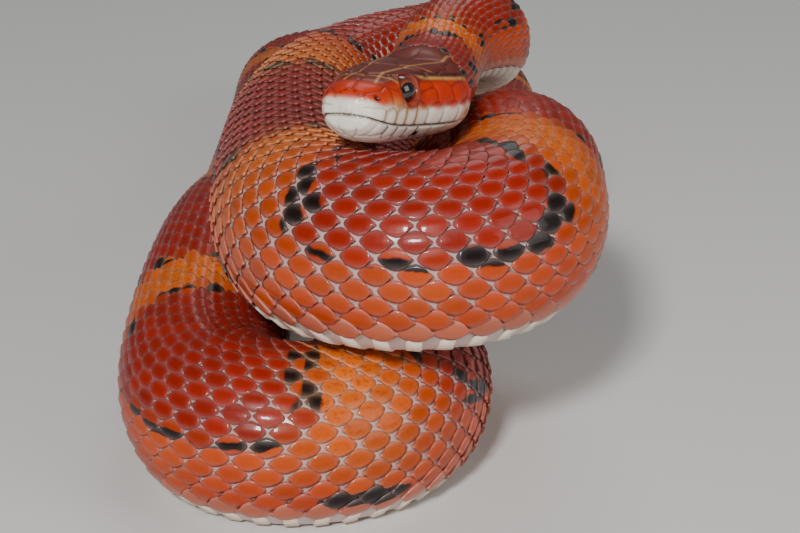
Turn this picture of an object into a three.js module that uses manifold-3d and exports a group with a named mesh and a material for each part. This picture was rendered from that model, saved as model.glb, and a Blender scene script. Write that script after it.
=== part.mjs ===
// A life-size still model of an adult corn snake, heaped in two coils with its head on top.
// Millimetres, +Z up.  The snake rests on its flat belly at z = 0, and faces -Y.
import * as THREE from 'three';
import * as BufferGeometryUtils from 'three/addons/utils/BufferGeometryUtils.js';
import Module from 'manifold-3d';

const wasm = await Module();
wasm.setup();

// Head
const SNOUT = new THREE.Vector3(-10.9, -13, 66.5);
const HEAD_YAW = 20;
const HEAD_PITCH = 10;
const HEAD_SCALE = 1.06;
const HEAD_SIDES = 24;
const EYE_RADIUS = 2.45;
const EYE_BACK = 10.6;
const EYE_OUT = 3.8;
const EYE_UP = 1.9;
const MOUTH_HEIGHT = -1.2;
const MOUTH_DIP = -4.6;
const MOUTH_CORNER_BACK = 26;
const MOUTH_CORNER_HEIGHT = -2.9;

// Body
const GAP = 0.3;
const RING_STEP = 5;
const RING_SIDES = 16;
const TWIST_REACH = 28;
const BELLY_DEPTH = 0.93;
const BELLY_CROWN = 1.06;
const NECK_END = 92;
const TRUNK_LENGTHS = 11;
const VENT = 808;
const TAIL_LENGTHS = 2;
const MODEL_CENTRE = new THREE.Vector3(-9.74, 102.02, 0);

// Half the body's width at distances behind the snout
const GIRTH = [
  [30, 8.0], [36, 7.4], [60, 7.9], [95, 10.6], [140, 13.4], [177, 15.3], [212, 15.4], [232, 14.7], [272, 14.8],
  [322, 14.1], [357, 14.7], [387, 14.1], [430, 13.3], [520, 12.7], [620, 12.0], [720, 11.1], [800, 9.9], [837, 8.6],
  [882, 6.6], [932, 4.2], [972, 2.0],
];

// The head's outline: distance behind the snout, half width, height over and depth under its axis
const HEAD_OUTLINE = [
  [0, 2.3, 1.5, 2.0], [0.8, 3.6, 2.4, 3.1], [2.6, 4.7, 3.2, 4.4], [5.5, 5.6, 3.8, 5.3],
  [9, 6.3, 4.4, 5.8], [13, 7.2, 4.8, 6.0], [17, 8.6, 5.1, 6.0], [21, 9.7, 5.2, 6.0],
  [25, 9.8, 5.3, 6.0], [28, 9.0, 5.7, 6.2], [32, 7.9, 6.6, 6.6],
];

const COLOURS = {
  scales: 0xb5431c,
  crown: 0x8f3a1c,
  lips: 0xe6ded0,
  eye: 0x140d0a,
};

const radians = THREE.MathUtils.degToRad;

// A uniform cubic B-spline draws a ring of control points in towards its centre by this much
const SPLINE_SPREAD = 6 / (4 + 2 * Math.cos(radians(45)));

function halfTurn(centre, toStart, outward, radius) {
  const points = [];
  for (let step = 0; step <= 4; step += 1) {
    const angle = radians(45 * step);
    const reach = radius * SPLINE_SPREAD;
    points.push(centre.map((value, axis) => (
      value + reach * (Math.cos(angle) * toStart[axis] + Math.sin(angle) * outward[axis])
    )));
  }
  return points;
}

function tilted(degrees) {
  return [Math.cos(radians(degrees)), 0, Math.sin(radians(degrees))];
}

const headBack = new THREE.Vector3(
  Math.sin(radians(HEAD_YAW)) * Math.cos(radians(HEAD_PITCH)),
  Math.cos(radians(HEAD_YAW)) * Math.cos(radians(HEAD_PITCH)),
  -Math.sin(radians(HEAD_PITCH)),
);

// The body's route from the snout to the tip of the tail
const headRoute = [0, 12, 24, 36].map((back) => SNOUT.clone().addScaledVector(headBack, back).toArray());
const neckRoute = [
  [2.4, 31.2, 60.3], [4.0, 42.5, 63], [10.4, 53, 62], [12, 64, 57.4], [2, 71, 52.5], [-12, 69, 49.5],
];
const upperLeft = [[-20.5, 57, 47], [-22, 40, 44.5], [-20.5, 23, 43]];
const upperFront = halfTurn([-1.8, 7, 42.5], [-1, 0, 0], [0, -1, 0], 16);
const upperRight = [[16, 18, 42.5]];
const turnDown = halfTurn([5.9, 28, 27.6], tilted(55), [0, 1, 0], 17.3);
const lowerRight = [[-3, 15, 12.6]];
const lowerFront = halfTurn([-18.7, 5, 12.6], [1, 0, 0], [0, -1, 0], 15.6);
const lowerLeft = [[-37.2, 22, 15], [-36.5, 38, 18.5], [-35.5, 56, 20], [-34.5, 76, 17]];
const rearLeft = [[-33.8, 96, 12], [-34, 125, 11.3], [-34, 155, 11.3], [-34, 182, 11.2]];
const rearTurn = halfTurn([-20.2, 203, 11.2], [-1, 0, 0], [0, 1, 0], 13.8);
const rearMiddle = [[-6.5, 180, 10.8], [-6.5, 155, 10.6], [-6.5, 130, 10.4]];
const innerTurn = halfTurn([6.5, 108, 10.2], [-1, 0, 0], [0, -1, 0], 13);
const rearRight = [[19.5, 130, 9.6], [19.5, 155, 9.2], [19.5, 180, 8.9]];
const tailTurn = halfTurn([13.2, 201, 18.2], tilted(-50), [0, 1, 0], 12);
const tailRoute = [[6, 182, 27.2], [6.4, 164, 26], [6.6, 147, 23.4], [6.6, 132, 20.4], [6.6, 119, 17.6]];

const ROUTE = [
  ...headRoute, ...neckRoute, ...upperLeft, ...upperFront, ...upperRight, ...turnDown,
  ...lowerRight, ...lowerFront, ...lowerLeft, ...rearLeft, ...rearTurn, ...rearMiddle,
  ...innerTurn, ...rearRight, ...tailTurn, ...tailRoute,
];

// Points along the B-spline, each with its distance behind the snout
function traceRoute(route, perSpan) {
  const control = route.map((point) => new THREE.Vector3(...point));
  const last = control.length - 1;
  control.unshift(control[0].clone().multiplyScalar(2).sub(control[1]));
  control.push(control[last + 1].clone().multiplyScalar(2).sub(control[last]));
  const trace = [];
  let travelled = 0;
  for (let span = 0; span + 3 < control.length; span += 1) {
    for (let step = span === 0 ? 0 : 1; step <= perSpan; step += 1) {
      const t = step / perSpan;
      const weights = [
        (1 - t) ** 3 / 6,
        (3 * t ** 3 - 6 * t ** 2 + 4) / 6,
        (-3 * t ** 3 + 3 * t ** 2 + 3 * t + 1) / 6,
        t ** 3 / 6,
      ];
      const place = new THREE.Vector3();
      weights.forEach((weight, index) => place.addScaledVector(control[span + index], weight));
      if (trace.length > 0) travelled += place.distanceTo(trace[trace.length - 1].place);
      trace.push({ place, travelled });
    }
  }
  return trace;
}

const TRACE = traceRoute(ROUTE, 40);
const BODY_LENGTH = TRACE[TRACE.length - 1].travelled;

function placeAt(distance) {
  const wanted = THREE.MathUtils.clamp(distance, 0, BODY_LENGTH);
  let index = TRACE.findIndex((entry) => entry.travelled >= wanted);
  index = Math.max(index, 1);
  const before = TRACE[index - 1];
  const after = TRACE[index];
  const share = (wanted - before.travelled) / (after.travelled - before.travelled);
  return before.place.clone().lerp(after.place, share);
}

function alongAt(distance) {
  return placeAt(distance + 1).sub(placeAt(distance - 1)).normalize();
}

// The crown direction that keeps the back upright, averaged along the body so that it never twists fast
function frameAt(distance) {
  const along = alongAt(distance);
  const crown = new THREE.Vector3();
  for (let step = -4; step <= 4; step += 1) {
    const nearby = alongAt(distance + (TWIST_REACH * step) / 4);
    const upright = new THREE.Vector3(0, 0, 1).addScaledVector(nearby, -nearby.z).normalize();
    crown.addScaledVector(upright, 5 - Math.abs(step));
  }
  crown.addScaledVector(along, -crown.dot(along)).normalize();
  const side = new THREE.Vector3().crossVectors(along, crown);
  return { side, crown };
}

function girthAt(distance) {
  const next = GIRTH.findIndex(([station]) => station >= distance);
  if (next === 0) return GIRTH[0][1];
  if (next < 0) return GIRTH[GIRTH.length - 1][1];
  const [startAt, startGirth] = GIRTH[next - 1];
  const [endAt, endGirth] = GIRTH[next];
  return THREE.MathUtils.mapLinear(distance, startAt, endAt, startGirth, endGirth);
}

// A loaf-shaped section: round over the back, with a flat belly that never goes below the floor
function bodyRing(distance) {
  const centre = placeAt(distance);
  const { side, crown } = frameAt(distance);
  const girth = girthAt(distance);
  const ring = [];
  for (let corner = 0; corner < RING_SIDES; corner += 1) {
    const angle = (2 * Math.PI * (corner + 0.5)) / RING_SIDES;
    const lift = Math.max(Math.cos(angle) * (Math.cos(angle) < 0 ? BELLY_CROWN : 1), -BELLY_DEPTH);
    const point = centre.clone();
    point.addScaledVector(side, girth * Math.sin(angle));
    point.addScaledVector(crown, girth * lift);
    point.z = Math.max(point.z, 0);
    ring.push(point);
  }
  return ring;
}

// A closed skin over a row of rings, with a flat fan over each end
function loft(rings) {
  const sides = rings[0].length;
  const positions = rings.flat().flatMap((point) => point.toArray());
  const indices = [];
  for (let row = 0; row + 1 < rings.length; row += 1) {
    for (let corner = 0; corner < sides; corner += 1) {
      const here = row * sides + corner;
      const beside = row * sides + ((corner + 1) % sides);
      indices.push(here, beside, here + sides, beside, beside + sides, here + sides);
    }
  }
  [0, rings.length - 1].forEach((row) => {
    const middle = new THREE.Vector3();
    rings[row].forEach((point) => middle.addScaledVector(point, 1 / sides));
    const hub = positions.length / 3;
    positions.push(...middle.toArray());
    for (let corner = 0; corner < sides; corner += 1) {
      const here = row * sides + corner;
      const beside = row * sides + ((corner + 1) % sides);
      indices.push(...(row === 0 ? [hub, beside, here] : [hub, here, beside]));
    }
  });
  const geometry = new THREE.BufferGeometry();
  geometry.setAttribute('position', new THREE.Float32BufferAttribute(positions, 3));
  geometry.setIndex(indices);
  return geometry;
}

function toSolid(geometry) {
  const bare = geometry.clone();
  bare.deleteAttribute('normal');
  bare.deleteAttribute('uv');
  const merged = BufferGeometryUtils.mergeVertices(bare, 1e-4);
  return new wasm.Manifold(new wasm.Mesh({
    numProp: 3,
    vertProperties: new Float32Array(merged.attributes.position.array),
    triVerts: new Uint32Array(merged.index.array),
  }));
}

function toGeometry(solid) {
  const mesh = solid.getMesh();
  const geometry = new THREE.BufferGeometry();
  geometry.setAttribute('position', new THREE.Float32BufferAttribute(mesh.vertProperties, 3));
  geometry.setIndex(Array.from(mesh.triVerts));
  return geometry;
}

function finish(colour, roughness) {
  return new THREE.MeshStandardMaterial({ color: colour, roughness, metalness: 0 });
}

const snake = new THREE.Group();

function addPart(name, geometry, material) {
  const mesh = new THREE.Mesh(geometry, material);
  mesh.name = name;
  mesh.position.copy(MODEL_CENTRE).negate();
  geometry.computeVertexNormals();
  snake.add(mesh);
  return mesh;
}

// The head's own frame: x to its left side, y back to the nape, z to its crown
const headAxes = new THREE.Matrix4();
const headSide = new THREE.Vector3().crossVectors(headBack, new THREE.Vector3(0, 0, 1)).normalize();
const headCrown = new THREE.Vector3().crossVectors(headSide, headBack);
headAxes.makeBasis(headSide, headBack, headCrown);
headAxes.scale(new THREE.Vector3(HEAD_SCALE, HEAD_SCALE, HEAD_SCALE));
headAxes.setPosition(SNOUT);

function headRing([back, halfWidth, over, under]) {
  const ring = [];
  for (let corner = 0; corner < HEAD_SIDES; corner += 1) {
    const angle = (2 * Math.PI * corner) / HEAD_SIDES;
    const across = Math.sin(angle);
    const up = Math.cos(angle);
    const squareness = 0.86;
    const x = halfWidth * Math.sign(across) * Math.abs(across) ** squareness;
    const z = (up > 0 ? over : under) * Math.sign(up) * Math.abs(up) ** squareness;
    ring.push(new THREE.Vector3(x, back, z));
  }
  return ring;
}

function eyeSolid(sideSign, radius) {
  const ball = new THREE.SphereGeometry(radius, 16, 10);
  ball.translate(sideSign * EYE_OUT, EYE_BACK, EYE_UP);
  return toSolid(ball);
}

// A thin sheet through the gape, down behind the corner of the mouth to the throat
function mouthCut() {
  const outline = new THREE.Shape();
  outline.moveTo(-2, MOUTH_HEIGHT);
  outline.quadraticCurveTo(10, MOUTH_DIP, MOUTH_CORNER_BACK, MOUTH_CORNER_HEIGHT);
  outline.lineTo(MOUTH_CORNER_BACK + 4, -9);
  outline.lineTo(MOUTH_CORNER_BACK + 4 - GAP * 1.2, -9);
  outline.lineTo(MOUTH_CORNER_BACK - GAP, MOUTH_CORNER_HEIGHT - GAP);
  outline.quadraticCurveTo(10, MOUTH_DIP - GAP, -2, MOUTH_HEIGHT - GAP);
  const sheet = new THREE.ExtrudeGeometry(outline, { depth: 30, bevelEnabled: false, curveSegments: 8 });
  sheet.translate(0, 0, -15);
  sheet.applyMatrix4(new THREE.Matrix4().makeBasis(
    new THREE.Vector3(0, 1, 0),
    new THREE.Vector3(0, 0, 1),
    new THREE.Vector3(1, 0, 0),
  ));
  return toSolid(sheet);
}

function addHead() {
  const whole = toSolid(loft(HEAD_OUTLINE.map(headRing)));
  const sockets = [1, -1].map((sign) => eyeSolid(sign, EYE_RADIUS + GAP));
  const socketed = whole.subtract(sockets[0]).subtract(sockets[1]);
  const pieces = socketed.subtract(mouthCut()).decompose();
  pieces.sort((one, other) => other.volume() - one.volume());
  const skin = finish(COLOURS.crown, 0.35);
  addPart('head', toGeometry(pieces[0]).applyMatrix4(headAxes), skin);
  addPart('lower_jaw', toGeometry(pieces[1]).applyMatrix4(headAxes), finish(COLOURS.lips, 0.4));
  const eyeFinish = finish(COLOURS.eye, 0.08);
  addPart('eye_left', toGeometry(eyeSolid(1, EYE_RADIUS)).applyMatrix4(headAxes), eyeFinish);
  addPart('eye_right', toGeometry(eyeSolid(-1, EYE_RADIUS)).applyMatrix4(headAxes), eyeFinish.clone());
}

function addLength(name, from, to) {
  const steps = Math.ceil((to - from) / RING_STEP);
  const rings = [];
  for (let step = 0; step <= steps; step += 1) {
    rings.push(bodyRing(THREE.MathUtils.lerp(from + GAP / 2, to - GAP / 2, step / steps)));
  }
  addPart(name, loft(rings), finish(COLOURS.scales, 0.35));
}

addHead();
const napeAt = HEAD_OUTLINE[HEAD_OUTLINE.length - 1][0] * HEAD_SCALE;
addLength('neck', napeAt + 3 * GAP, NECK_END);
const trunkLength = (VENT - NECK_END) / TRUNK_LENGTHS;
for (let index = 0; index < TRUNK_LENGTHS; index += 1) {
  const from = NECK_END + index * trunkLength;
  addLength(`trunk_${index + 1}`, from, from + trunkLength);
}
const tailLength = (BODY_LENGTH - VENT) / TAIL_LENGTHS;
for (let index = 0; index < TAIL_LENGTHS; index += 1) {
  const from = VENT + index * tailLength;
  addLength(`tail_${index + 1}`, from, from + tailLength);
}

export default snake;
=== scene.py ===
# %% [markdown]
# A corn snake rests in a heap: its front half lies in two coils with the head on top, and the
# rest of the body is folded on the floor behind them.  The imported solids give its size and
# pose.  Here the lengths of flesh become one skin, which then gets its scales, one by one.

# %% The frame
import math

import bpy
import numpy as np
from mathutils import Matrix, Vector


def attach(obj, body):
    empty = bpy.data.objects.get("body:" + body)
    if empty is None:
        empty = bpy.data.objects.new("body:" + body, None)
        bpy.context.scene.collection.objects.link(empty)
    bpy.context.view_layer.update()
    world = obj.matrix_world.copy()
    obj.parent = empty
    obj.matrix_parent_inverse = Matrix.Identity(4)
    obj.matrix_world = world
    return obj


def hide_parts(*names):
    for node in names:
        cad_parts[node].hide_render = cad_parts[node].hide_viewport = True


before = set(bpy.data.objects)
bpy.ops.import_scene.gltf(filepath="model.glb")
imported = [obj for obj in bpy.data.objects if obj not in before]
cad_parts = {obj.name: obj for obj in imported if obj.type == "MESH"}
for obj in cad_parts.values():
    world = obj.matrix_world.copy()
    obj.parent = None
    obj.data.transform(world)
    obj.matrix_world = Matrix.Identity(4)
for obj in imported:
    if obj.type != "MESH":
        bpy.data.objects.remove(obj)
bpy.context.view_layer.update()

MM = 0.001
# the place on the route's own plan, in mm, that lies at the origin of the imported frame
MODEL_CENTRE = np.array([-9.74, 102.02, 0.0])
print("nodes:", len(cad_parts))

# %% [markdown]
# The body follows one smooth curve, led by points.  Listed points suit the free
# stretches, and each tight bend is a half circle, worked out from its centre and radius.  The
# curve runs a little inside its points, so those of a half circle are moved outwards.

# %% The route from snout to tail
TURN_STEP = 45
SPREAD = 6 / (4 + 2 * math.cos(math.radians(TURN_STEP)))
SPAN_STEPS = 40
STATION = 0.5
TWIST_REACH = 28
TWIST_STEPS = 4
UP = np.array([0.0, 0.0, 1.0])


def half_turn(centre, to_start, outward, radius):
    angles = np.radians(TURN_STEP * np.arange(180 // TURN_STEP + 1))[:, None]
    ring = np.cos(angles) * np.array(to_start) + np.sin(angles) * np.array(outward)
    return np.array(centre) + SPREAD * radius * ring


def tilted(degrees):
    return (math.cos(math.radians(degrees)), 0, math.sin(math.radians(degrees)))


SNOUT = np.array([-10.9, -13, 66.5])
HEAD_YAW = math.radians(20)
HEAD_PITCH = math.radians(10)
HEAD_BACK = np.array([
    math.sin(HEAD_YAW) * math.cos(HEAD_PITCH),
    math.cos(HEAD_YAW) * math.cos(HEAD_PITCH),
    -math.sin(HEAD_PITCH),
])
head_route = SNOUT + np.array([[0], [12], [24], [36]]) * HEAD_BACK
neck_route = [
    (2.4, 31.2, 60.3), (4, 42.5, 63), (10.4, 53, 62), (12, 64, 57.4), (2, 71, 52.5),
    (-12, 69, 49.5),
]
upper_left = [(-20.5, 57, 47), (-22, 40, 44.5), (-20.5, 23, 43)]
upper_front = half_turn((-1.8, 7, 42.5), (-1, 0, 0), (0, -1, 0), 16)
turn_down = half_turn((5.9, 28, 27.6), tilted(55), (0, 1, 0), 17.3)
lower_front = half_turn((-18.7, 5, 12.6), (1, 0, 0), (0, -1, 0), 15.6)
lower_left = [(-37.2, 22, 15), (-36.5, 38, 18.5), (-35.5, 56, 20), (-34.5, 76, 17)]
rear_left = [(-33.8, 96, 12), (-34, 125, 11.3), (-34, 155, 11.3), (-34, 182, 11.2)]
rear_turn = half_turn((-20.2, 203, 11.2), (-1, 0, 0), (0, 1, 0), 13.8)
rear_middle = [(-6.5, 180, 10.8), (-6.5, 155, 10.6), (-6.5, 130, 10.4)]
inner_turn = half_turn((6.5, 108, 10.2), (-1, 0, 0), (0, -1, 0), 13)
rear_right = [(19.5, 130, 9.6), (19.5, 155, 9.2), (19.5, 180, 8.9)]
tail_turn = half_turn((13.2, 201, 18.2), tilted(-50), (0, 1, 0), 12)
tail_route = [(6, 182, 27.2), (6.4, 164, 26), (6.6, 147, 23.4), (6.6, 132, 20.4), (6.6, 119, 17.6)]
ROUTE = np.vstack([
    head_route, neck_route, upper_left, upper_front, [(16, 18, 42.5)], turn_down,
    [(-3, 15, 12.6)], lower_front, lower_left, rear_left, rear_turn, rear_middle,
    inner_turn, rear_right, tail_turn, tail_route,
])


def spline(points, per_span):
    """A smooth curve that is led by the points, and starts and ends on the outer two."""
    ends = (2 * points[0] - points[1], 2 * points[-1] - points[-2])
    control = np.vstack([ends[0], points, ends[1]])
    t = np.linspace(0, 1, per_span, endpoint=False)[:, None]
    weights = [
        (1 - t) ** 3, 3 * t ** 3 - 6 * t ** 2 + 4, -3 * t ** 3 + 3 * t ** 2 + 3 * t + 1, t ** 3,
    ]
    spans = [
        sum(weight * control[span + index] for index, weight in enumerate(weights)) / 6
        for span in range(len(control) - 3)
    ]
    return np.vstack(spans + [points[-1:]])


curve = spline(ROUTE, SPAN_STEPS)
travelled = np.concatenate([[0], np.cumsum(np.linalg.norm(np.diff(curve, axis=0), axis=1))])
BODY_LENGTH = travelled[-1]
stations = np.arange(0, BODY_LENGTH + STATION, STATION)


def along_body(values, places):
    """Values kept at every station, read at other places along the body."""
    flat = values if values.ndim == 2 else values[:, None]
    read = np.stack([np.interp(places, stations, column) for column in flat.T], axis=-1)
    return read if values.ndim == 2 else read[..., 0]


def unit(vectors):
    return vectors / np.maximum(np.linalg.norm(vectors, axis=-1, keepdims=True), 1e-9)


# the crown of the back turns slowly: at each station it is a mean over a reach of the body
centres = np.stack([np.interp(stations, travelled, column) for column in curve.T], axis=-1)
tangents = unit(np.gradient(centres, axis=0))
upright = unit(UP - tangents[:, 2:3] * tangents)
crowns = sum(
    (TWIST_STEPS + 1 - abs(step)) * along_body(upright, stations + TWIST_REACH * step / TWIST_STEPS)
    for step in range(-TWIST_STEPS, TWIST_STEPS + 1)
)
crowns = unit(crowns - (crowns * tangents).sum(axis=1, keepdims=True) * tangents)
sides = np.cross(tangents, crowns)
curving = np.gradient(tangents, STATION, axis=0)
print("length of the snake in mm:", round(BODY_LENGTH, 1))

# %% [markdown]
# A corn snake is shaped like a loaf of bread: round over the back, with a flat belly that
# meets the flanks at a blunt edge.  One function gives any point on that loaf, from how far
# it is behind the snout and the angle round from the crown.  Everything else is built on it.

# %% The loaf-shaped body
# each pair is a distance behind the snout and half the body's width there, in mm
GIRTH = np.array([
    [30, 8.0], [36, 7.4], [60, 7.9], [95, 10.6], [140, 13.4], [177, 15.3], [212, 15.4], [232, 14.7],
    [272, 14.8], [322, 14.1], [357, 14.7], [387, 14.1], [430, 13.3], [520, 12.7], [620, 12.0],
    [720, 11.1], [800, 9.9], [837, 8.6], [882, 6.6], [932, 4.2], [972, 2.0],
])
GIRTH_WINDOW = 25
TIP_LENGTH = 6
# the skin lies this far inside the flesh, so that the scales come out level with it
COAT_DEPTH = 0.42
BELLY_DROP = 1.06
BELLY_LEVEL = -0.8
BELLY_EDGE = 0.13
FLOOR_GAP = 0.02


def smoothed(values, width):
    """A running mean; past its ends the row goes on with its end values."""
    window = np.hanning(width)
    padded = np.pad(values, width // 2, mode="edge")
    return np.convolve(padded, window / window.sum(), mode="valid")


def bump(distance, width):
    """A smooth hump: 1 in the middle, about a third one width away, then next to nothing."""
    return np.exp(-(distance / width) ** 2)


def slope(value, start, length):
    """0 up to the start, 1 past the length after it, and straight in between."""
    return np.clip((value - start) / length, 0, 1)


girths = smoothed(np.interp(stations, GIRTH[:, 0], GIRTH[:, 1]), GIRTH_WINDOW)
girths = girths * np.sqrt(np.clip((BODY_LENGTH + 1 - stations) / TIP_LENGTH, 0.01, 1))


def body_point(places, angles, lift=0.0):
    """Points on the loaf, raised by lift; angles run from the crown towards the right side."""
    centre = along_body(centres, places)
    side = along_body(sides, places)
    crown = along_body(crowns, places)
    rise = np.cos(angles)
    rise = np.where(rise < 0, rise * BELLY_DROP, rise)
    flat = BELLY_LEVEL - BELLY_EDGE * np.tanh((BELLY_LEVEL - rise) / BELLY_EDGE)
    rise = np.where(rise < BELLY_LEVEL, flat, rise)
    reach = along_body(girths, places) + lift
    point = centre + (reach * np.sin(angles))[..., None] * side + (reach * rise)[..., None] * crown
    point[..., 2] = np.maximum(point[..., 2], FLOOR_GAP)
    return point


def stretch(places, angles):
    """How much longer the skin is at this angle than the middle of the body."""
    bend = along_body(curving, places)
    side = along_body(sides, places)
    crown = along_body(crowns, places)
    outward = np.sin(angles)[..., None] * side + np.cos(angles)[..., None] * crown
    return 1 - along_body(girths, places) * (bend * outward).sum(axis=-1)


print("thickest place in mm:", round(2 * girths.max(), 1))

# %% [markdown]
# Large meshes are slow to make face by face, so one helper hands over whole arrays.  It also
# stores named values on the points, which the materials read, and a flat map on which every
# scale has its own small patch.

# %% Making meshes from arrays
STRIPS = 8
STRIP_MARGIN = 0.02
LAST_SHARE = 0.99999


def strip_map(places, turns):
    """A flat map of the skin: the body cut in equal lengths, laid side by side."""
    share = np.clip(places / BODY_LENGTH, 0, LAST_SHARE) * STRIPS
    strip = np.floor(share)
    across = (strip + STRIP_MARGIN + (1 - 2 * STRIP_MARGIN) * turns) / STRIPS
    return np.stack([share - strip, across], axis=-1)


def new_piece(name, points, faces, sizes, values, flat_map, material):
    """points in mm; faces is one flat list of corners and sizes the corners in each face."""
    mesh = bpy.data.meshes.new(name)
    mesh.vertices.add(len(points))
    mesh.vertices.foreach_set("co", ((points - MODEL_CENTRE) * MM).ravel())
    mesh.loops.add(len(faces))
    mesh.loops.foreach_set("vertex_index", faces.astype(np.int32))
    mesh.polygons.add(len(sizes))
    starts = np.concatenate([[0], np.cumsum(sizes)[:-1]])
    mesh.polygons.foreach_set("loop_start", starts.astype(np.int32))
    mesh.polygons.foreach_set("loop_total", sizes.astype(np.int32))
    mesh.polygons.foreach_set("use_smooth", np.ones(len(sizes), dtype=bool))
    mesh.update(calc_edges=True)
    for value_name, value in values.items():
        kind = "FLOAT" if value.ndim == 1 else "FLOAT_VECTOR"
        key = "value" if value.ndim == 1 else "vector"
        attribute = mesh.attributes.new(value_name, kind, "POINT")
        attribute.data.foreach_set(key, value.astype(np.float32).ravel())
    layer = mesh.uv_layers.new(name="OFBake")
    layer.data.foreach_set("uv", flat_map.astype(np.float32).ravel())
    mesh.materials.append(material)
    piece = bpy.data.objects.new(name, mesh)
    bpy.context.scene.collection.objects.link(piece)
    return piece


def triangle_count(piece):
    return sum(len(face.vertices) - 2 for face in piece.data.polygons)


def ring_faces(first, count, sides):
    """Four-sided faces between rings of points that are numbered one after the other."""
    number = first + np.arange(count * sides).reshape(count, sides)
    beside = np.roll(number, -1, axis=1)
    return np.stack([number[:-1], beside[:-1], beside[1:], number[1:]], axis=-1).reshape(-1, 4)


def cap(tip, ring, flipped=False):
    """Triangles between one point and the ring round it."""
    faces = np.stack([np.full(len(ring), tip), ring, np.roll(ring, -1)], axis=-1)
    return faces[:, [0, 2, 1]] if flipped else faces


print("strips in the flat map:", STRIPS)

# %% [markdown]
# The markings are the same on the skin and on the scales, so they come from one function of
# the place on the body.  Dark red saddles cross the back, each with a broken black edge, and
# golden bands lie between them.  Lower down, small blotches sit opposite the bands.

# %% Saddles, bands and blotches
VENT = 808
# the middle of each saddle behind the snout, and half its length, in mm
FRONT_SADDLES = [
    (39, 6), (63, 11), (98, 14), (149, 20), (199, 13.5), (245, 13), (281, 13), (317, 13),
    (362, 18), (411, 18),
]
REAR_FROM = 455
REAR_SPACING = 41
REAR_HALF = 14.5
TAIL_SPACING = 25
TAIL_HALF = 8
PLAIN_TIP = 12
SADDLE_DROP = math.radians(76)
SADDLE_ROUNDING = 0.23
SADDLE_SHARPNESS = 2.2
SADDLE_WANDER = 1.2
EDGE_AT = 0.7
EDGE_HALF = 0.45
EDGE_WANDER = 1.7
EDGE_ENDS = 1.12
EDGE_FADE = 30
BLOTCH_DROP = math.radians(112)
BLOTCH_LENGTH = 9
BLOTCH_HEIGHT = 0.13
BLOTCH_LEVEL = 0.4
BLOTCH_CONTRAST = 5
BAND_LENGTH = 14
BAND_FROM = 0.4
BAND_FADE = 1.6
BELLY_FROM = math.radians(120)
BELLY_BLEND = 0.2

saddles = list(FRONT_SADDLES)
saddle_at = REAR_FROM
while saddle_at < BODY_LENGTH - PLAIN_TIP:
    on_tail = saddle_at > VENT
    saddles.append((saddle_at, TAIL_HALF if on_tail else REAR_HALF))
    saddle_at += TAIL_SPACING if on_tail else REAR_SPACING
saddles = np.array(saddles, dtype=float)


def markings(places, angles, jitter):
    """Saddle, black edge, band and belly: from 0 to 1, but the edge is black from 0 upwards."""
    turn = np.abs((angles + math.pi) % (2 * math.pi) - math.pi)
    gaps = np.abs(places[..., None] - saddles[:, 0])
    nearest = gaps.argmin(axis=-1)
    half = saddles[nearest, 1]
    off = np.abs(places - saddles[nearest, 0]) / half
    ragged = off ** 4 + (turn / SADDLE_DROP) ** 5
    beyond = (ragged ** SADDLE_ROUNDING - 1) * half + SADDLE_WANDER * jitter
    saddle = 1 / (1 + np.exp(beyond * SADDLE_SHARPNESS))
    edge = EDGE_HALF - np.abs(beyond - EDGE_AT) + EDGE_WANDER * jitter
    edge = edge - EDGE_FADE * np.maximum(turn / SADDLE_DROP - EDGE_ENDS, 0)
    closest = np.sort(gaps, axis=-1)
    between = closest[..., 1] - closest[..., 0]
    blotch = bump(between, BLOTCH_LENGTH) * bump(turn - BLOTCH_DROP, BLOTCH_HEIGHT)
    edge = np.maximum(edge, (blotch - BLOTCH_LEVEL) * BLOTCH_CONTRAST + jitter)
    band = bump(between, BAND_LENGTH) * (1 - slope(turn, BAND_FROM, BAND_FADE))
    return saddle, np.clip(edge, -1, 1), band, slope(turn, BELLY_FROM, BELLY_BLEND)


print("saddles:", len(saddles))

# %% [markdown]
# Scales keep their pigment under a clear glossy film.  The colour of each depends on the
# markings, a little on chance, and fades towards its rim, so a node group mixes it and both
# the skin and the scale material use that group with their own values.

# %% Colours of the coat
def linear(red, green, blue):
    """A colour as it is seen on a screen, from 0 to 255, turned into amounts of light."""
    channels = [value / 255 for value in (red, green, blue)]
    return [c / 12.92 if c <= 0.04045 else ((c + 0.055) / 1.055) ** 2.4 for c in channels] + [1.0]


FLANK = linear(164, 38, 0)
SADDLE = linear(140, 22, 0)
BAND = linear(206, 96, 4)
BAND_RIM = linear(232, 172, 104)
BLACK = linear(22, 12, 10)
BELLY = linear(226, 208, 186)
NET = linear(196, 172, 168)
CREAM = linear(240, 232, 218)
LIP_SHADE = linear(196, 170, 140)
LIP_STREAK = linear(172, 118, 14)
# painted shade: the nearly black colour of the slit between the jaws
MOUTH_SLIT_SHADE = linear(40, 22, 18)
CROWN = linear(62, 20, 4)
STREAK = linear(204, 52, 8)
TAN = linear(206, 150, 84)
EYE_RING = linear(126, 58, 40)
NODE_SPACING = 180


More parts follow.
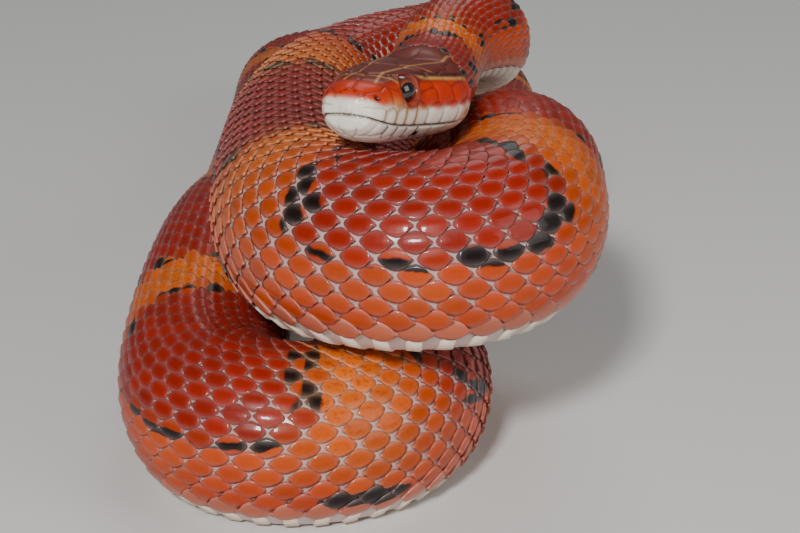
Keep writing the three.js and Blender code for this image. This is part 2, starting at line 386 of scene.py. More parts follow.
class Nodes:
    """A short way to add nodes to one tree and join them."""

    def __init__(self, tree):
        self.tree = tree

    def add(self, kind, **settings):
        node = self.tree.nodes.new(kind)
        node.location = (len(self.tree.nodes) * NODE_SPACING, 0)
        for key, value in settings.items():
            setattr(node, key, value)
        return node

    def link(self, source, target):
        self.tree.links.new(source, target)

    def feed(self, node, sources):
        """Joins each socket to its source, or sets it where a constant is given."""
        for socket, source in sources.items():
            if hasattr(source, "links"):
                self.link(source, node.inputs[socket])
            else:
                node.inputs[socket].default_value = source

    def channels(self, name):
        """The three numbers of a named value on the points."""
        stored = self.add("ShaderNodeAttribute", attribute_name=name)
        split = self.add("ShaderNodeSeparateXYZ")
        self.link(stored.outputs["Vector"], split.inputs[0])
        return split.outputs

    def mix(self, factor, first, second):
        node = self.add("ShaderNodeMix", data_type="RGBA")
        self.feed(node, {0: factor, 6: first, 7: second})
        return node.outputs[2]

    def math(self, operation, *sources, clamp=False):
        node = self.add("ShaderNodeMath", operation=operation, use_clamp=clamp)
        self.feed(node, dict(enumerate(sources)))
        return node.outputs[0]

    def share(self, source, amount):
        return self.math("MULTIPLY", source, amount)

    def noise(self, scale, detail=3.0):
        place = self.add("ShaderNodeTexCoord")
        node = self.add("ShaderNodeTexNoise")
        self.feed(node, {"Scale": scale, "Detail": detail, "Vector": place.outputs["Object"]})
        return node.outputs["Fac"]


def colour_group():
    group = bpy.data.node_groups.new("coat_colours", "ShaderNodeTree")
    for name in ("Saddle", "Edge", "Band", "Belly", "Chance"):
        group.interface.new_socket(name, in_out="INPUT", socket_type="NodeSocketFloat")
    group.interface.new_socket("Colour", in_out="OUTPUT", socket_type="NodeSocketColor")
    nodes = Nodes(group)
    given = nodes.add("NodeGroupInput").outputs
    cloud = nodes.noise(90)
    flank = nodes.mix(nodes.share(cloud, 0.5), FLANK, BAND)
    colour = nodes.mix(given["Band"], flank, BAND)
    colour = nodes.mix(given["Saddle"], colour, SADDLE)
    speckle = nodes.math("GREATER_THAN", nodes.noise(1500), 0.57)
    freckle = nodes.math("MULTIPLY", speckle, nodes.share(given["Band"], 0.5))
    colour = nodes.mix(freckle, colour, SADDLE)
    brighter = nodes.add("ShaderNodeHueSaturation")
    shade = nodes.math("MULTIPLY_ADD", given["Chance"], 0.3, 0.85)
    nodes.feed(brighter, {"Value": shade, "Color": colour})
    colour = nodes.mix(given["Belly"], brighter.outputs["Color"], BELLY)
    ragged = nodes.math("MULTIPLY_ADD", nodes.noise(420), 1.2, -0.6)
    black = nodes.math("MULTIPLY", nodes.math("ADD", given["Edge"], ragged), 4.0, clamp=True)
    colour = nodes.mix(black, colour, BLACK)
    nodes.link(colour, nodes.add("NodeGroupOutput").inputs["Colour"])
    return group


coat_colours = colour_group()


def start_material(name):
    material = bpy.data.materials.new(name)
    material.use_nodes = True
    material.node_tree.nodes.clear()
    nodes = Nodes(material.node_tree)
    shader = nodes.add("ShaderNodeBsdfPrincipled")
    out = nodes.add("ShaderNodeOutputMaterial")
    nodes.link(shader.outputs[0], out.inputs["Surface"])
    return material, nodes, shader


def marked_colour(nodes):
    """The coat's colour, and the stored values that tell the rim or head, and the band."""
    saddle, edge, band = nodes.channels("mark")
    belly, luck, third = nodes.channels("mark_more")
    group = nodes.add("ShaderNodeGroup", node_tree=coat_colours)
    nodes.feed(group, {"Saddle": saddle, "Edge": edge, "Band": band, "Belly": belly, "Chance": luck})
    return group.outputs["Colour"], third, band


def add_grain(nodes, shader, scale, strength, distance):
    """A fine uneven surface, too small to be built."""
    grain = nodes.add("ShaderNodeBump")
    nodes.feed(grain, {"Strength": strength, "Distance": distance, "Height": nodes.noise(scale, 4)})
    nodes.link(grain.outputs[0], shader.inputs["Normal"])


def scale_material():
    material, nodes, shader = start_material("scale_gloss")
    colour, rim, band = marked_colour(nodes)
    paler = nodes.mix(0.3, colour, NET)
    paler = nodes.mix(nodes.share(band, 0.55), paler, BAND_RIM)
    nodes.feed(shader, {
        "Base Color": nodes.mix(nodes.share(rim, 0.75), colour, paler),
        "Roughness": 0.36,
        "Specular IOR Level": 0.16,
        "Coat Weight": 0.22,
        "Coat Roughness": 0.09,
    })
    add_grain(nodes, shader, 1100, 0.25, 0.00012)
    return material


scale_finish = scale_material()
print("nodes in the coat's colours:", len(coat_colours.nodes))

# %% [markdown]
# The plates are laid in slanting rows, like tiles: every row is half a tile behind its
# neighbours.  Where the body bends, plates on the outside are drawn out and those on the
# inside are shortened, so that the coat stays closed without crowding.

# %% Laying the scales
SCALE_FROM = 34
SCALE_TO = BODY_LENGTH - 3
BACK_ARC = math.radians(252)
PITCH = 4.3
PITCH_GIRTH = 14
BEND_CROWDING = 0.5
# half the width of a plate at places from its root to its tip
PLATE_PLACES = [-1, -0.55, 0, 0.45, 0.8, 1]
PLATE_WIDTHS = [0.32, 0.8, 1.0, 0.86, 0.54, 0.22]
TIP_SWEEP = -0.2
ROOT_SWEEP = 0.12
UNDERSIDE = 0.97
PLATE_RISE = 0.62
PLATE_CURVE = 1.3
PLATE_DEPTH = 0.35
ROOT_LIFT = 0.05
DOME = 0.16
KEEL = 0.05
KEEL_WIDTH = 0.16
FULL_LENGTH = 4
LEAST_RELIEF = 0.3
LONG_OVERLAP = 1.14
WIDE_OVERLAP = 1.46
LOW_ROWS = 2
LOW_LONGER = 0.12
LOW_WIDER = 0.2
# how much a plate is drawn out where the skin is stretched this much
STRETCHES = [0, 0.25, 1, 2]
DRAWN_OUT = [0.2, 0.42, 1, 1.6]
PATCH = 0.003
chance = np.random.default_rng(7)


def columns(start, end):
    """Places of the scale columns with their pitch and number, closer on thin and bent lengths."""
    bent = np.linalg.norm(curving, axis=-1) * girths
    pitch = PITCH * (girths / PITCH_GIRTH) ** 0.5 / (1 + BEND_CROWDING * bent)
    counted = np.cumsum(STATION / pitch)
    first, last = np.interp([start, end], stations, counted)
    steps = np.arange(math.ceil(first * 2), math.ceil(last * 2)) / 2
    places = np.interp(steps, counted, stations)
    return places, np.interp(places, stations, pitch), (steps * 2).round().astype(int)


def plate_template(across, along):
    """Corners of one plate on a grid, with its outline and the faces that close it."""
    a, b = np.meshgrid(np.linspace(-1, 1, across), np.linspace(-1, 1, along))
    a = a.ravel()
    b = b.ravel()
    x = a * np.interp(b, PLATE_PLACES, PLATE_WIDTHS)
    y = b + np.where(b > 0, TIP_SWEEP, ROOT_SWEEP) * np.abs(b) * a ** 2
    number = np.arange(across * along).reshape(along, across)
    edge = np.concatenate([number[0], number[1:, -1], number[-1, -2::-1], number[-2:0:-1, 0]])
    quads = np.stack([number[:-1, :-1], number[:-1, 1:], number[1:, 1:], number[1:, :-1]], axis=-1)
    quads = quads.reshape(-1, 4)
    under = len(a) + np.arange(len(edge))
    walls = np.stack([np.roll(edge, -1), edge, under, np.roll(under, -1)], axis=-1)
    x = np.concatenate([x, x[edge] * UNDERSIDE])
    y = np.concatenate([y, y[edge] * UNDERSIDE])
    top = np.concatenate([np.ones(len(a)), np.zeros(len(edge))])
    rim = np.concatenate([np.maximum(np.abs(a), np.abs(b)) > 0.99, np.ones(len(edge))])
    faces = np.concatenate([quads.ravel(), walls.ravel(), under[::-1]])
    sizes = np.concatenate([np.full(len(quads) + len(walls), 4), [len(under)]])
    return x, y, top, rim.astype(float), faces, sizes


def plate_lift(x, y, top):
    """Height over the skin: low at the root, high at the tip, domed, with a faint keel."""
    rise = ROOT_LIFT + (PLATE_RISE - ROOT_LIFT) * slope(y, -1, 2) ** PLATE_CURVE
    dome = DOME * (1 - x ** 2) * np.clip(1 - y ** 4, 0, 1) + KEEL * bump(x, KEEL_WIDTH)
    return rise + np.where(top > 0, dome, -PLATE_DEPTH)


def lay_plates(name, places, angles, lengths, widths, template):
    """One joined mesh of plates; lengths and widths are in mm on the skin."""
    x, y, top, rim, faces, sizes = template
    count = len(places)
    per_plate = len(x)
    pull = np.clip(stretch(places, angles), 0.4, 3)
    half_long = np.minimum(lengths / 2 / pull, lengths / 1.5)
    half_wide = widths / 2 / along_body(girths, places)
    spot = places[:, None] + half_long[:, None] * y
    angle = angles[:, None] + half_wide[:, None] * x
    relief = np.clip(lengths / FULL_LENGTH, LEAST_RELIEF, 1)[:, None]
    points = body_point(spot, angle, plate_lift(x, y, top) * relief - COAT_DEPTH)
    luck = chance.uniform(-1, 1, count)
    saddle, _, band, belly = (np.repeat(v, per_plate) for v in markings(places, angles, luck))
    edge = markings(spot, angle, np.repeat(luck[:, None], per_plate, axis=1))[1].ravel()
    tone = np.repeat(chance.uniform(0, 1, count), per_plate)
    shade = np.clip(np.abs(x) ** 3 + np.abs(y) ** 5, 0, 1)
    values = {
        "mark": np.stack([saddle, edge, band], axis=-1),
        "mark_more": np.stack([belly, tone, np.tile(np.maximum(shade, rim), count)], axis=-1),
    }
    all_faces = (faces[None] + per_plate * np.arange(count)[:, None]).ravel()
    all_sizes = np.tile(sizes, count)
    root = strip_map(places, (angles / (2 * math.pi)) % 1)
    patch = np.stack([x, y], axis=-1)[faces] * PATCH / 2
    flat_map = (root[:, None] + patch[None]).reshape(-1, 2)
    points = points.reshape(-1, 3)
    piece = new_piece(name, points, all_faces, all_sizes, values, flat_map, scale_finish)
    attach(piece, "root")
    print(name, "triangles:", triangle_count(piece))
    return piece


def lay_rows(name, start, end, rows, template):
    """Rows of scales over the back; the lowest rows on each side are larger."""
    places, pitch, numbers = columns(start, end)
    row_step = BACK_ARC / rows
    laid = []
    for row in range(rows):
        offset = row - (rows - 1) / 2
        chosen = (numbers % 2) == (row % 2)
        spots = places[chosen]
        angles = np.full(len(spots), offset * row_step)
        low = max(0.0, abs(offset) - (rows - 1) / 2 + LOW_ROWS)
        drawn_out = np.interp(stretch(spots, angles), STRETCHES, DRAWN_OUT)
        lengths = pitch[chosen] * (LONG_OVERLAP + LOW_LONGER * low) * drawn_out
        widths = along_body(girths, spots) * row_step * (WIDE_OVERLAP + LOW_WIDER * low)
        laid.append((spots, angles, lengths, widths))
    return lay_plates(name, *(np.concatenate(group) for group in zip(*laid)), template)


fine_plate = plate_template(7, 7)
plain_plate = plate_template(5, 5)
TRUNK_ROWS = 27
TAIL_ROWS = 17
lay_rows("scales_neck", SCALE_FROM, 118, TRUNK_ROWS, fine_plate)
lay_rows("scales_upper_coil", 118, 262, TRUNK_ROWS, fine_plate)
lay_rows("scales_lower_coil", 262, 405, TRUNK_ROWS, fine_plate)
lay_rows("scales_rear_left", 405, 600, TRUNK_ROWS, plain_plate)
lay_rows("scales_rear_right", 600, VENT, TRUNK_ROWS, plain_plate)
lay_rows("scales_tail", VENT, SCALE_TO, TAIL_ROWS, plain_plate)

# %% [markdown]
# Under the body the scales are as wide as the belly, one for each step of the ribs.

# %% Belly plates
BELLY_OVERLAP = 1.08
BELLY_LENGTH = 0.75


def belly_plates(name, start, end):
    places, pitch, _ = columns(start, end)
    places = places[::2]
    angles = np.full(len(places), math.pi)
    widths = along_body(girths, places) * (2 * math.pi - BACK_ARC) * BELLY_OVERLAP
    lengths = pitch[::2] * 2 * BELLY_LENGTH * np.clip(stretch(places, angles), 0.35, 2.2)
    return lay_plates(name, places, angles, lengths, widths, plate_template(9, 4))


belly_plates("belly_plates", SCALE_FROM, SCALE_TO)

# %% [markdown]
# The head carries large plates instead of small scales.  It is the front of the same skin,
# at a finer mesh.  Each plate is named by a few seed points, and the groove between two
# plates runs where the skin is equally far from both.

# %% The shape of the head
HEAD_SIDE = unit(np.cross(HEAD_BACK, UP))
HEAD_CROWN = np.cross(HEAD_SIDE, HEAD_BACK)
# distance behind the snout, half the width, height above the middle and height below it
HEAD_OUTLINE = np.array([
    [0, 2.3, 1.5, 2.0], [0.8, 3.6, 2.4, 3.1], [2.6, 4.7, 3.2, 4.4], [5.5, 5.6, 3.8, 5.3],
    [9, 6.3, 4.4, 5.8], [13, 7.2, 4.8, 6.0], [17, 8.6, 5.1, 6.0], [21, 9.7, 5.2, 6.0],
    [25, 9.8, 5.3, 6.0], [28, 9.0, 5.7, 6.2], [32, 7.9, 6.6, 6.6], [40, 7.4, 7.2, 7.0],
])
OUTLINE_STEPS = 161
OUTLINE_WINDOW = 9
BLUNT_SNOUT = 2.5
HEAD_SCALE = 1.06
HEAD_SQUARENESS = 0.86
HEAD_SIDES = 256
HEAD_RING = 0.2
HEAD_END = 38
SNOUT_RINGS = [0.02, 0.06, 0.12, 0.2, 0.3, 0.42, 0.56, 0.7, 0.85]
SNOUT_ROUNDING = 0.8
EYE_BACK, EYE_OUT, EYE_UP, EYE_RADIUS = 10.6, 3.9, 1.85, 2.3
EYE_OPENING = 1.95
GAZE_TURN = math.radians(28)
MOUTH_FRONT = -1.0
MOUTH_DROP = 2.3
MOUTH_RISE = 0.4
MOUTH_CORNER = 25.5


def head_outline(back, column):
    fine = np.linspace(0, HEAD_OUTLINE[-1, 0], OUTLINE_STEPS)
    shape = np.interp(fine, HEAD_OUTLINE[:, 0], HEAD_OUTLINE[:, column])
    smooth = np.where(fine < BLUNT_SNOUT, shape, smoothed(shape, OUTLINE_WINDOW))
    return np.interp(back, fine, smooth)


def head_local(back, angles):
    """Points of the head in its own frame: side, back and crown."""
    across = np.sin(angles)
    up = np.cos(angles)
    height = np.where(up > 0, head_outline(back, 2), head_outline(back, 3))
    x = head_outline(back, 1) * np.sign(across) * np.abs(across) ** HEAD_SQUARENESS
    z = height * np.sign(up) * np.abs(up) ** HEAD_SQUARENESS
    return np.stack([x, np.broadcast_to(back, np.shape(x)), z], axis=-1)


def head_to_body(local):
    return SNOUT + HEAD_SCALE * local @ np.stack([HEAD_SIDE, HEAD_BACK, HEAD_CROWN])


def mouth_height(back):
    """Height of the line of the mouth: down from the snout, and up again to its corner."""
    drop = 1 - np.exp(-back / 5)
    rise = slope(back, 14, 12) ** 2
    return MOUTH_FRONT - MOUTH_DROP * drop + MOUTH_RISE * rise


# name, and its seeds as (distance behind the snout, degrees round from the crown)
HEAD_PLATES = {
    "internasal": [(3.0, 28)],
    "prefrontal": [(6.2, 20), (7.2, 42)],
    "frontal": [(10.6, 0), (12.6, 0), (14.6, 0)],
    "supraocular": [(10.0, 42), (12.2, 42), (13.8, 40)],
    "parietal": [(17.8, 16), (20, 24), (22.5, 24), (24.8, 18)],
    "nasal": [(2.2, 66), (3.6, 70)],
    "loreal": [(6.0, 74)],
    "preocular": [(8.0, 68)],
    "postocular_upper": [(13.9, 60)],
    "postocular_lower": [(14.0, 76)],
    "temporal_front": [(17.2, 58), (17.6, 76)],
    "temporal_upper": [(21.2, 54)],
    "temporal_lower": [(21.4, 74)],
    "temporal_rear": [(25.2, 48)],
    "nape": [(27.2, 12)],
    "nape_side": [(26.0, 70)],
}
UPPER_LIPS = [1.9, 4.4, 7.0, 9.6, 12.3, 15.4, 18.9, 22.6]
LOWER_LIPS = [1.3, 3.3, 5.7, 8.4, 11.3, 14.6, 18.2, 22.0, 25.6]
THROAT = [(17.5, 156), (20.5, 152), (23.5, 152), (26.5, 150)]
for plate_name, backs, degrees in (("upper_lip", UPPER_LIPS, 105), ("lower_lip", LOWER_LIPS, 132)):
    for index, back in enumerate(backs):
        HEAD_PLATES[f"{plate_name}_{index + 1}"] = [(back, degrees)]
HEAD_PLATES["chin_front"] = [(4.5, 152), (7, 152)]
HEAD_PLATES["chin_rear"] = [(11, 154), (14, 154)]
HEAD_PLATES.update({f"throat_{index + 1}": [spot] for index, spot in enumerate(THROAT)})
# two plates lie across the middle of the snout, and their seeds are points in the head's frame
MIDDLE_PLATES = {"rostral": (0.0, -0.2, -0.1), "mental": (0.0, 0.1, -2.2)}
HEAD_PLATES.update({plate_name: [] for plate_name in MIDDLE_PLATES})

head_backs = np.concatenate([SNOUT_RINGS, np.arange(1.0, HEAD_END, HEAD_RING)])
head_turns = 2 * math.pi * np.arange(HEAD_SIDES) / HEAD_SIDES
grid = np.meshgrid(head_backs, head_turns, indexing="ij")
h_back = grid[0].ravel()
h_turn = grid[1].ravel()
local = head_local(h_back, h_turn)
local[:, [0, 2]] *= np.clip(h_back / SNOUT_ROUNDING, 0.15, 1)[:, None] ** 0.5
print("head plates on each side:", len(HEAD_PLATES))

# %% [markdown]
# The grooves, the mouth, the nostrils and the eye sockets are pressed into the head, and the
# brow, the cheeks and the ring round each eye stand out from it.  One half is worked out, and
# the other half mirrors it.  Lengths are in mm, in the head's own frame.

# %% Grooves, lips, nostrils and eye sockets
ACROSS_MOUTH = 30
LIP_PLATES = ("upper_lip", "lower_lip", "chin", "throat", "rostral", "mental")
UNDIVIDED = ("frontal", "rostral", "mental")
GROOVE_WIDTH = 0.13
GROOVE_DEPTH = 0.11
SWELL = 0.09
MOUTH_WIDTH = 0.17
MOUTH_DEPTH = 0.42
SOCKET_DEPTH = 1.5
SOCKET_EDGE = 0.07
EYE_FRONT = 0.4
RING_HEIGHT = 0.16
BROW_HEIGHT = 0.5
CHEEK_HEIGHT = 0.25
NOSTRIL_BACK = 2.0
NOSTRIL_TURN = math.radians(62)
NOSTRIL_WIDTH = 0.42
NOSTRIL_DEPTH = 0.7


def seed_points():
    """The plate that each seed belongs to, its place, and whether it is below the mouth."""
    owner, seeds, below = [], [], []
    for plate, spots in enumerate(HEAD_PLATES.values()):
        for back, degrees in spots:
            owner.append(plate)
            seeds.append(head_local(back, math.radians(degrees)))
            below.append(degrees > 110)
    for name, place in MIDDLE_PLATES.items():
        owner.append(list(HEAD_PLATES).index(name))
        seeds.append(np.array(place))
        below.append(name == "mental")
    return np.array(owner), np.array(seeds), np.array(below)


def plates_and_seams(mirrored):
    """The plate that each point is on, and how far the point is from the next plate."""
    owner, seeds, below = seed_points()
    under = mirrored[:, 2] < mouth_height(mirrored[:, 1])
    gaps = np.linalg.norm(mirrored[:, None] - seeds[None], axis=-1)
    gaps = gaps + ACROSS_MOUTH * (under[:, None] != below[None])
    plates = np.stack([
        gaps[:, owner == plate].min(axis=1) for plate in range(len(HEAD_PLATES))
    ], axis=1)
    order = np.sort(plates, axis=1)
    return plates.argmin(axis=1), (order[:, 1] - order[:, 0]) / 2


def sculpt_head(local):
    """How far each point of the head moves outwards, and what the colours need to know."""
    mirrored = local.copy()
    mirrored[:, 0] = np.abs(mirrored[:, 0])
    x, back, z = mirrored.T
    own, seam = plates_and_seams(mirrored)
    divided = np.array([name not in UNDIVIDED for name in HEAD_PLATES])[own]
    seam = np.where(divided & (np.abs(z) > 2.2), np.minimum(seam, x), seam)
    fade = slope(30 - back, 0, 3)
    groove = bump(seam, GROOVE_WIDTH) * fade
    mouth = bump(z - mouth_height(back), MOUTH_WIDTH) * slope(MOUTH_CORNER - back, 0, 1.2)
    from_eye = mirrored - np.array([EYE_OUT, EYE_BACK, EYE_UP])
    gaze = unit(np.array([math.cos(GAZE_TURN), -math.sin(GAZE_TURN), 0.1]))
    along = from_eye @ gaze
    off_axis = np.linalg.norm(from_eye - along[:, None] * gaze, axis=-1)
    socket = (along > EYE_FRONT) / (1 + np.exp((off_axis - EYE_OPENING) / SOCKET_EDGE))
    eye_ring = (along > EYE_FRONT) * bump(off_axis - EYE_OPENING - 0.3, 0.22)
    brow = bump(z - 3.6, 0.7) * bump(back - 10.9, 3.0) * (x > 3)
    cheek = bump(back - 22, 5) * bump(z + 1.2, 2.6)
    from_nostril = np.linalg.norm(mirrored - head_local(NOSTRIL_BACK, NOSTRIL_TURN), axis=-1)
    nostril = bump(from_nostril, NOSTRIL_WIDTH)
    push = SWELL * (1 - groove) * slope(seam, 0, 0.8) * fade
    push = push + BROW_HEIGHT * brow + CHEEK_HEIGHT * cheek + RING_HEIGHT * eye_ring
    push = push - GROOVE_DEPTH * groove - MOUTH_DEPTH * mouth - NOSTRIL_DEPTH * nostril
    push = push * (1 - socket) - SOCKET_DEPTH * socket
    lip = np.array([name.startswith(LIP_PLATES) for name in HEAD_PLATES])[own]
    return push, {
        "groove": groove,
        "mouth": mouth,
        "nostril": nostril,
        "eye_ring": np.maximum(eye_ring, socket),
        "lip_edge": lip * groove,
        "wide_seam": lip * bump(seam, 0.42),
        "slit": lip * bump(seam, 0.2),
    }


push, found = sculpt_head(local)
print("depth of the eye sockets in mm:", round(-push.min(), 2))

# %% [markdown]
# The head's pattern: white lips with dark seams, an orange snout and brow, a dark brown-red
# crown with cream lines, and an orange stripe behind the eye under a pale line with a dark rim.

# %% Head colours
def head_marks(local, found):
    """Five masks; each number below is a place or a width in mm on the head."""
    x = np.abs(local[:, 0])
    back = local[:, 1]
    z = local[:, 2]
    above = z - mouth_height(back)
    lip_top = 2.55 + 0.15 * np.sin(back * 1.9) - 0.3 * bump(back, 3)
    pale = 1 / (1 + np.exp((above - lip_top) * 6))
    crown = slope(z, 2.7, 0.8) * slope(back, 3.2, 2)

    behind_eye = slope(back, 12.5, 1.5)
    temple = 3.7 - 0.05 * np.maximum(back - 12, 0)
    temple_line = bump(z - temple, 0.22) * behind_eye
    crown_line = bump(x - 1.7 - 0.16 * np.abs(back - 9), 0.2) * (z > 3.0) * (back > 4)
    brow_bar = bump(back - 6.6 - 0.25 * x, 0.26) * (z > 2.6)
    nape_bar = bump(back - 15.4 - 0.5 * x, 0.26) * (z > 3.4)
    snout_side = bump(back - 5.6, 2.2) * bump(z - 0.4, 0.9)
    fine_lines = np.clip(0.75 * crown_line + 0.5 * brow_bar + 0.45 * nape_bar, 0, 1)
    cream = np.clip(fine_lines + 0.85 * temple_line + 0.6 * snout_side, 0, 1)

    dark = np.maximum.reduce([
        0.8 * bump(z - temple - 0.5, 0.2) * behind_eye,
        1.0 * (np.abs(back - 13.4) / 0.5 + np.abs(z + 4.5) / 0.9 < 1) * (x > 4),
        bump(back - 25.4, 0.5) * bump(above - 0.7, 1.0),
        0.45 * found["lip_edge"] * (above > 0),
        0.35 * found["lip_edge"] * (above <= -1.5) * (above > -3.2),
        found["slit"] * (above < -0.25) * (above > -1.5) * (back > 3) * (back < 13),
    ])
    yellow = np.maximum(
        0.8 * found["wide_seam"] * (above > 0.2) * (above < 2.9) * (back > 3) * (back < 13.5),
        0.8 * bump(back - 23.8, 1.2) * bump(above - 1.4, 0.8),
    )
    return pale, crown, cream, dark, yellow


pale, crown, cream, dark, yellow = head_marks(local, found)
print("share of the head that is white:", round(pale.mean(), 2))

# %% [markdown]
# The skin is one closed mesh.  The head has twice as many points in a ring as the body, so a
# row of triangles joins the two, and behind the jaw the head's shape blends into the body's.

# %% One skin from snout to tail
BODY_SIDES = HEAD_SIDES // 2
BODY_RING = 2.4
BODY_FROM = 40.6
BLEND_FROM = 26
BLEND_LENGTH = 7
SNOUT_LENGTH = 2.5
SNOUT_TURN = 1.6

outward = unit(local * np.array([1, 0, 1.6]) + np.array([0, -0.001, 0]))
front = 1 - slope(local[:, 1:2], 0, SNOUT_LENGTH)
outward = unit(outward - front * np.array([0, SNOUT_TURN, 0]))
head_points = head_to_body(local + outward * push[:, None])
neck_points = body_point(h_back * HEAD_SCALE, h_turn, -COAT_DEPTH)
share = slope(h_back, BLEND_FROM, BLEND_LENGTH)
share = (share * share * (3 - 2 * share))[:, None]
head_points = head_points * (1 - share) + neck_points * share

body_places = np.arange(BODY_FROM, BODY_LENGTH, BODY_RING)
body_turns = 2 * math.pi * np.arange(BODY_SIDES) / BODY_SIDES
grid = np.meshgrid(body_places, body_turns, indexing="ij")
b_place = grid[0].ravel()
b_turn = grid[1].ravel()
body_points = body_point(b_place, b_turn, -COAT_DEPTH)
tips = np.array([SNOUT - 0.02 * HEAD_BACK, centres[-1]])
skin_points = np.vstack([head_points, body_points, tips])

head_count = len(h_back)
body_count = len(b_place)
snout_tip = head_count + body_count
tail_tip = snout_tip + 1
quads = np.vstack([
    ring_faces(0, len(head_backs), HEAD_SIDES),
    ring_faces(head_count, len(body_places), BODY_SIDES),
])
a = head_count - HEAD_SIDES + 2 * np.arange(BODY_SIDES)
b = a + 1
c = np.roll(a, -1)
d = head_count + np.arange(BODY_SIDES)
e = np.roll(d, -1)
joint = np.stack([a, b, d, b, e, d, b, c, e], axis=-1).reshape(-1, 3)
last_ring = head_count + body_count - BODY_SIDES + np.arange(BODY_SIDES)
triangles = np.vstack([
    joint, cap(snout_tip, np.arange(HEAD_SIDES), flipped=True), cap(tail_tip, last_ring),
])
skin_faces = np.concatenate([quads.ravel(), triangles.ravel()])
skin_sizes = np.concatenate([np.full(len(quads), 4), np.full(len(triangles), 3)])

all_places = np.concatenate([h_back * HEAD_SCALE, b_place, [0, BODY_LENGTH]])
all_turns = np.concatenate([h_turn, b_turn, [0, 0]])
saddle, _, band, belly = markings(all_places, all_turns, np.zeros(len(all_places)))
no_edge = np.full(len(all_places), -1.0)
middle_tone = np.full(len(all_places), 0.5)


def head_values(*values):
    """Values of the head's points side by side, with nothing on the body."""
    body_zeros = np.zeros(body_count)
    return np.stack([np.concatenate([v, body_zeros, v[:1], [0]]) for v in values], axis=-1)


on_head = head_values(slope(36 - h_back, 0, 4))[:, 0]
skin_values = {
    "mark": np.stack([saddle, no_edge, band], axis=-1),
    "mark_more": np.stack([belly, middle_tone, on_head], axis=-1),
    "head_a": head_values(pale, crown, cream),
    "head_b": head_values(dark, yellow, found["groove"]),
    "head_c": head_values(found["mouth"], found["nostril"], found["eye_ring"]),
}


def skin_material():
    material, nodes, shader = start_material("skin_and_head_plates")
    marked, on_the_head, _ = marked_colour(nodes)
    pale_at, crown_at, cream_at = nodes.channels("head_a")
    dark_at, yellow_at, groove_at = nodes.channels("head_b")
    mouth_slit_shade_at, nostril_shade_at, eye_ring_at = nodes.channels("head_c")
    between = nodes.mix(0.85, marked, NET)
    lips = nodes.mix(nodes.share(nodes.noise(500), 0.35), CREAM, LIP_SHADE)
    base = nodes.mix(nodes.share(nodes.noise(320, 4), 0.6), STREAK, SADDLE)
    for factor, colour in (
        (nodes.share(crown_at, 0.8), CROWN),
        (cream_at, TAN),
        (nodes.share(groove_at, 0.45), BLACK),
        (pale_at, lips),
        (yellow_at, LIP_STREAK),
        (dark_at, BLACK),
        (eye_ring_at, EYE_RING),
        # painted shade: the slit of the mouth is painted nearly black, as the shade inside it
        (mouth_slit_shade_at, MOUTH_SLIT_SHADE),
        # painted shade: the nostrils are painted black, as the shade inside their openings
        (nodes.math("MULTIPLY", nostril_shade_at, 1.4, clamp=True), BLACK),
    ):
        base = nodes.mix(factor, base, colour)
    nodes.feed(shader, {
        "Base Color": nodes.mix(on_the_head, between, base),
        "Roughness": 0.4,
        "Specular IOR Level": 0.2,
        "Coat Weight": 0.16,
        "Coat Roughness": 0.14,
    })
    add_grain(nodes, shader, 1300, 0.3, 0.0001)
    return material


skin_map = strip_map(all_places[skin_faces], (all_turns[skin_faces] / (2 * math.pi)) % 1)
skin = new_piece("skin", skin_points, skin_faces, skin_sizes, skin_values, skin_map, skin_material())
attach(skin, "root")
flesh = [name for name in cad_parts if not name.startswith("eye_")]
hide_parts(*flesh)
print("skin triangles:", triangle_count(skin))

# %% [markdown]
# Snakes have no eyelids: a clear scale covers the eye and makes it shine.  The eye is a ball
# with a round black pupil and a thin red-brown iris, under a glossy film.

# %% Eyes
EYE_RINGS = 32
EYE_SEGMENTS = 48
# the eye's colours from the middle of the pupil outwards
EYE_STOPS = [
    (0.0, BLACK),
    (0.42, BLACK),
    (0.46, linear(150, 66, 36)),
    (0.56, linear(110, 44, 24)),
    (0.7, linear(64, 28, 18)),
]


def eye_material():
    material, nodes, shader = start_material("eye_film")
    gaze = nodes.add("ShaderNodeAttribute", attribute_name="gaze")
    ramp = nodes.add("ShaderNodeValToRGB")
    nodes.link(gaze.outputs["Fac"], ramp.inputs["Fac"])
    while len(ramp.color_ramp.elements) < len(EYE_STOPS):
        ramp.color_ramp.elements.new(0.5)
    for element, (position, colour) in zip(ramp.color_ramp.elements, EYE_STOPS):
        element.position = position
        element.color = colour
    nodes.feed(shader, {
        "Base Color": ramp.outputs["Color"],
        "Roughness": 0.12,
        "Coat Weight": 1.0,
        "Coat Roughness": 0.02,
    })
    return material


eye_finish = eye_material()


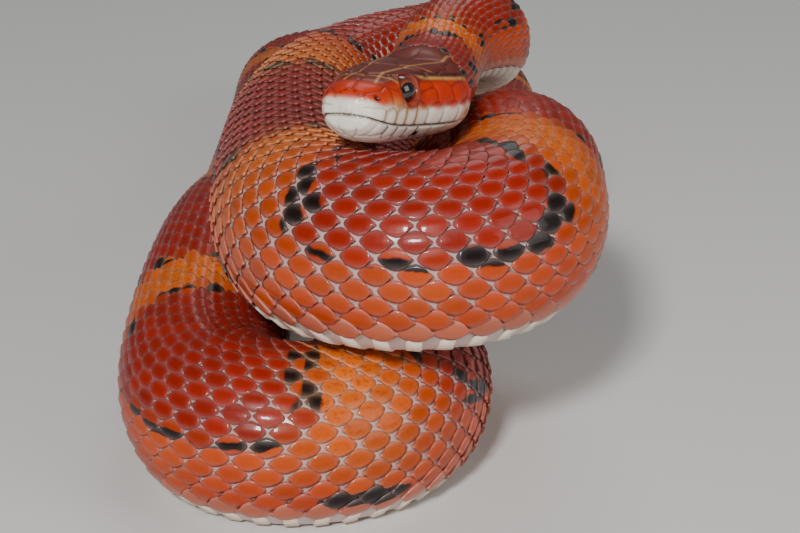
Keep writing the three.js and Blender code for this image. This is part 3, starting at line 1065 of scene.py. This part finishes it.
def add_eye(name, sign):
    """A ball whose pupil looks out to the side and a little forwards."""
    tilt = np.linspace(0, math.pi, EYE_RINGS + 1)[1:-1]
    spin = 2 * math.pi * np.arange(EYE_SEGMENTS) / EYE_SEGMENTS
    tilts, spins = np.meshgrid(tilt, spin, indexing="ij")
    ball = np.stack([
        np.cos(tilts), np.sin(tilts) * np.cos(spins), np.sin(tilts) * np.sin(spins),
    ], axis=-1)
    unit_ball = np.vstack([ball.reshape(-1, 3), [1.0, 0, 0], [-1.0, 0, 0]])
    gaze = np.arccos(np.clip(unit_ball[:, 0], -1, 1)) / (math.pi / 2)
    look = -GAZE_TURN * sign
    turn = np.array([
        [math.cos(look), -math.sin(look), 0],
        [math.sin(look), math.cos(look), 0],
        [0, 0, 1],
    ])
    turned = unit_ball * np.array([sign, sign, 1]) @ turn.T
    points = head_to_body(turned * EYE_RADIUS + np.array([sign * EYE_OUT, EYE_BACK, EYE_UP]))
    count = len(tilt) * EYE_SEGMENTS
    rings = ring_faces(0, len(tilt), EYE_SEGMENTS)[:, ::-1]
    first_ring = np.arange(EYE_SEGMENTS)
    last_ring = count - EYE_SEGMENTS + first_ring
    caps = np.vstack([cap(count, first_ring), cap(count + 1, last_ring, flipped=True)])
    faces = np.concatenate([rings.ravel(), caps.ravel()])
    sizes = np.concatenate([np.full(len(rings), 4), np.full(len(caps), 3)])
    flat_map = 0.5 + 0.45 * turned[faces][:, 1:]
    eye = new_piece(name, points, faces, sizes, {"gaze": gaze}, flat_map, eye_finish)
    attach(eye, "root")
    return eye


for side_name, sign in (("left", 1), ("right", -1)):
    eye = add_eye(f"eye_ball_{side_name}", sign)
    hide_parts(f"eye_{side_name}")
    print(eye.name, "triangles:", triangle_count(eye))

# %% [markdown]
# A pale floor and broad soft lights show the gloss.  The camera looks down at the heap from
# the front, as near as in the picture.

# %% Floor, light and camera
FLOOR_SIZE = 8
FLOOR_DROP = 0.0002
FLOOR_COLOUR = (0.72, 0.71, 0.69, 1)
SKY_COLOUR = (0.85, 0.87, 0.9, 1)
SKY_STRENGTH = 0.17
FOCAL_PIXELS = 1950
IMAGE_WIDTH = 800
IMAGE_HEIGHT = 533
TARGET_PIXEL = (420, 254)
SENSOR_WIDTH = 36
LOOK_DOWN = math.radians(20)
DISTANCE = 300 * MM
heap_front = (np.array([0, -9, 42]) - MODEL_CENTRE) * MM


def floor():
    bpy.ops.mesh.primitive_plane_add(size=FLOOR_SIZE, location=(0, 0, -FLOOR_DROP))
    plane = bpy.context.object
    plane.name = "floor"
    material, nodes, shader = start_material("floor_paper")
    nodes.feed(shader, {"Base Color": FLOOR_COLOUR, "Roughness": 0.7})
    plane.data.materials.append(material)


def softbox(name, place, target, size, watts):
    light = bpy.data.lights.new(name, "AREA")
    light.size = size
    light.energy = watts
    lamp = bpy.data.objects.new(name, light)
    lamp.location = place
    lamp.rotation_euler = (Vector(target) - Vector(place)).to_track_quat("-Z", "Y").to_euler()
    bpy.context.scene.collection.objects.link(lamp)


def sky():
    world = bpy.data.worlds.new("studio")
    world.use_nodes = True
    background = world.node_tree.nodes["Background"]
    background.inputs[0].default_value = SKY_COLOUR
    background.inputs[1].default_value = SKY_STRENGTH
    bpy.context.scene.world = world


def camera():
    data = bpy.data.cameras.new("camera")
    data.sensor_width = SENSOR_WIDTH
    data.lens = FOCAL_PIXELS / IMAGE_WIDTH * SENSOR_WIDTH
    data.clip_start = 0.01
    data.shift_x = (IMAGE_WIDTH / 2 - TARGET_PIXEL[0]) / IMAGE_WIDTH
    data.shift_y = (TARGET_PIXEL[1] - IMAGE_HEIGHT / 2) / IMAGE_WIDTH
    eye = bpy.data.objects.new("camera", data)
    back = Vector((0, -math.cos(LOOK_DOWN), math.sin(LOOK_DOWN)))
    eye.location = Vector(heap_front) + back * DISTANCE
    eye.rotation_euler = (-back).to_track_quat("-Z", "Y").to_euler()
    bpy.context.scene.collection.objects.link(eye)
    bpy.context.scene.camera = eye


floor()
softbox("key", (-0.12, -0.75, 0.5), heap_front, 0.1, 6.5)
softbox("fill", (0.7, -0.5, 0.4), heap_front, 0.5, 2)
softbox("back", (0.1, 0.7, 0.9), heap_front, 0.5, 2)
sky()
camera()
print("lights:", len(bpy.data.lights))
